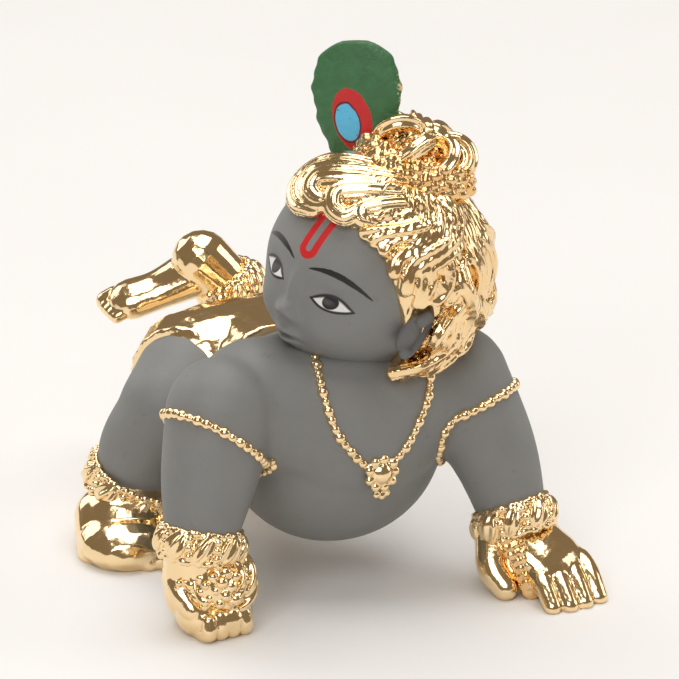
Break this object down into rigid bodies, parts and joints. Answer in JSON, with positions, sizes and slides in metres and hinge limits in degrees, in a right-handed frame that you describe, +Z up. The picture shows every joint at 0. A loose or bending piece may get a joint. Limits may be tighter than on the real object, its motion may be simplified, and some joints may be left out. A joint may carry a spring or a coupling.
{
  "type": "laddu gopal idol",
  "caption": "Small cast figure of a crawling baby deity, head turned, a round sweet in one hand, a feather in the hair and one foot raised; it stands on a shelf or dashboard.",
  "frame": {"origin": "middle of the base, on the surface it stands on", "axes": "+Z up; the figure crawls towards -Y, and its left is +X"},
  "size_m": [0.0522, 0.0728, 0.0664],
  "materials": {
    "grey_paint": "matte",
    "gold_plate": "polished",
    "feather_paint": "satin"
  },
  "bodies": {
    "root": {"idol": "grey_paint"}
  },
  "joints": []
}
